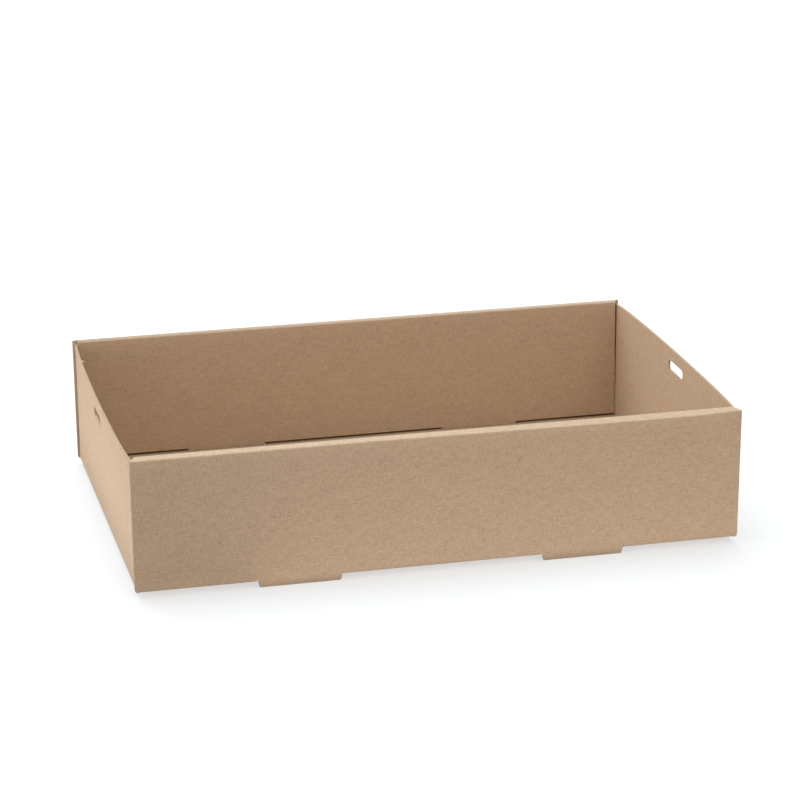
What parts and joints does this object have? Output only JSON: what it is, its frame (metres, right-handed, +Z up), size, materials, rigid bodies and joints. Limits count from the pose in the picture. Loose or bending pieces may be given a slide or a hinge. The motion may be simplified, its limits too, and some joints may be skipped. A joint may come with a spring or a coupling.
{
  "type": "cardboard catering tray box",
  "caption": "Open rectangular tray folded from one sheet of brown fluted board: hollow rolled-over long walls, single end walls with a lid slot each, and cut-out feet.",
  "frame": {"origin": "under the middle of the tray, at the level of the undersides of its four feet", "axes": "+X along the tray, +Y across it from the front long wall to the back one, +Z up"},
  "size_m": [0.3698, 0.241, 0.0843],
  "materials": {
    "kraft_board": "uncoated brown kraft liner on fluted board, matt"
  },
  "bodies": {
    "root": {"tray": "kraft_board"}
  },
  "joints": []
}
